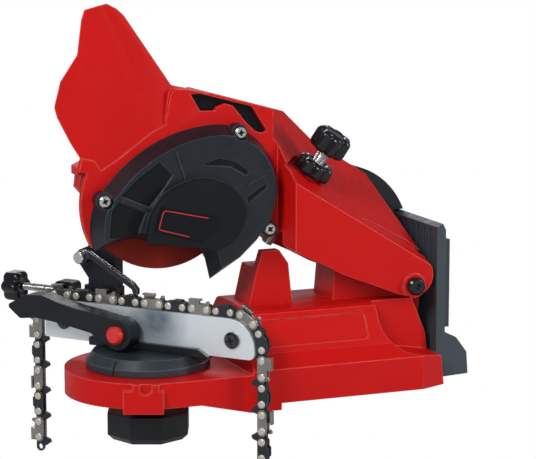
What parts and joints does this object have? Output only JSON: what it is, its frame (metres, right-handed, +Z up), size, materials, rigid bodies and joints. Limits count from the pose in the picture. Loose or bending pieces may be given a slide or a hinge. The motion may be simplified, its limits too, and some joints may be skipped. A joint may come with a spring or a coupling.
{
  "type": "chainsaw chain sharpener",
  "caption": "Bench chain sharpener with a hinged grinding head, depth screw, swivelling chain vise and a rear slide for a battery.",
  "frame": {"origin": "centre of the four bench-bolt holes on the bench plane, the flat underside of the base", "axes": "+X towards the battery end, -Y towards the side of the wheel cover, +Z up"},
  "size_m": [0.2756, 0.1616, 0.2953],
  "materials": {
    "red_plastic": "satin, fine grain",
    "black_plastic": "satin, fine grain",
    "grey_plastic": "satin, fine grain",
    "cover_black": "semi matt, fine grain",
    "gloss_black": "gloss",
    "plate_steel": "zinc plated, brushed",
    "bolt_steel": "zinc plated",
    "chain_steel": "blued",
    "cutter_steel": "hard chromed, worn",
    "rivet_tie": "blued",
    "wheel_grit": "bonded abrasive",
    "red_cap": "gloss",
    "blackened_steel": "black oxide",
    "brass": "plain",
    "mount_grey": "satin, fine grain"
  },
  "bodies": {
    "base": {"base_housing": "red_plastic", "hinge_lug": "red_plastic", "stop_post": "red_plastic", "bottom_plate": "black_plastic", "bottom_screws": "bolt_steel", "stop_pad": "bolt_steel", "battery_mount": "mount_grey", "terminal_block": "black_plastic", "terminal_blades": "brass", "side_housing": "black_plastic", "side_housing_screws": "bolt_steel", "hinge_pin": "bolt_steel", "hinge_pin_head": "gloss_black"},
    "arm": {"arm_housing": "red_plastic", "head_housing": "red_plastic", "motor_housing": "black_plastic", "motor_end_cap": "black_plastic", "recess_panel": "gloss_black", "wheel_cover": "cover_black", "wheel_cover_screws": "bolt_steel", "cover_plate": "gloss_black", "thread_insert": "brass", "switch_frame": "black_plastic"},
    "rocker": {"power_switch": "red_cap"},
    "wheel": {"grinding_wheel": "wheel_grit", "spindle": "bolt_steel", "outer_flange": "bolt_steel", "spindle_nut": "bolt_steel"},
    "depth_rod": {"depth_screw": "bolt_steel"},
    "depth_wheel": {"depth_knob": "gloss_black"},
    "depth_nut": {"depth_lock_nut": "gloss_black"},
    "table": {"swivel_table": "grey_plastic", "rail_bracket": "blackened_steel", "rail_plate_near": "plate_steel", "rail_plate_far": "plate_steel", "rail_screws": "blackened_steel", "rail_nuts": "bolt_steel", "swivel_bolt": "bolt_steel", "clamp_bolt": "bolt_steel", "clamp_cap": "red_cap", "stop_bearing": "black_plastic", "chain_drive_links": "chain_steel", "chain_tie_links": "rivet_tie", "chain_cutters_left": "cutter_steel", "chain_cutters_right": "cutter_steel"},
    "lock_knob": {"swivel_lock_knob": "black_plastic"},
    "lever": {"clamp_lever": "black_plastic"},
    "stop_slide": {"stop_carrier": "black_plastic", "pawl_pin": "bolt_steel", "stop_rod": "bolt_steel"},
    "stop_screw": {"stop_knob": "gloss_black"},
    "pawl": {"stop_pawl": "blackened_steel"}
  },
  "joints": [
    {"name": "arm_hinge", "type": "hinge", "parent": "base", "child": "arm", "pos_m": [0.05, 0, 0.0615], "axis": [0, -1, 0], "range_deg": [0, 5.2], "stiffness_Nm_per_rad": 6, "springref_deg": -25.78},
    {"name": "wheel_spin", "type": "hinge", "parent": "arm", "child": "wheel", "pos_m": [-0.1062, 0, 0.1283], "axis": [0, -1, 0], "continuous": true},
    {"name": "switch_rock", "type": "hinge", "parent": "arm", "child": "rocker", "pos_m": [-0.058, 0.0356, 0.152], "axis": [1, 0, 0], "range_deg": [0, 12]},
    {"name": "depth_slide", "type": "slide", "parent": "arm", "child": "depth_rod", "axis": [0.4454, -0.3005, 0.8434], "range_m": [-0.0035, 0.006]},
    {"name": "depth_turn", "type": "hinge", "parent": "depth_rod", "child": "depth_wheel", "pos_m": [-0.00179, -0.01813, 0.15205], "axis": [0.4454, -0.3005, 0.8434], "range_deg": [-1009, 1729]},
    {"name": "lock_nut_turn", "type": "hinge", "parent": "arm", "child": "depth_nut", "pos_m": [-0.01026, -0.01243, 0.13603], "axis": [0.4454, -0.3005, 0.8434], "range_deg": [0, 360]},
    {"name": "table_swivel", "type": "hinge", "parent": "base", "child": "table", "pos_m": [-0.115, 0, 0.019], "axis": [0, 0, -1], "range_deg": [0, 80]},
    {"name": "lock_knob_turn", "type": "hinge", "parent": "table", "child": "lock_knob", "pos_m": [-0.115, 0, -0.01], "axis": [0, 0, 1], "range_deg": [0, 360]},
    {"name": "clamp_turn", "type": "hinge", "parent": "table", "child": "lever", "pos_m": [-0.13062, -0.00005, 0.04], "axis": [-0.766, -0.6428, 0], "range_deg": [0, 26]},
    {"name": "stop_travel", "type": "slide", "parent": "table", "child": "stop_slide", "axis": [0.6428, -0.766, 0], "range_m": [-0.005, 0]},
    {"name": "stop_turn", "type": "hinge", "parent": "stop_slide", "child": "stop_screw", "pos_m": [-0.17315, 0.08175, 0.0575], "axis": [0.6428, -0.766, 0], "range_deg": [-1801, 0]},
    {"name": "pawl_lift", "type": "hinge", "parent": "stop_slide", "child": "pawl", "pos_m": [-0.14425, 0.03485, 0.082], "axis": [-0.766, -0.6428, 0], "range_deg": [0, 6]}
  ],
  "couplings": [
    {"joint": "depth_turn", "follows": "depth_slide", "rad_per_m": 5026.5},
    {"joint": "stop_turn", "follows": "stop_travel", "rad_per_m": 6283.2}
  ]
}
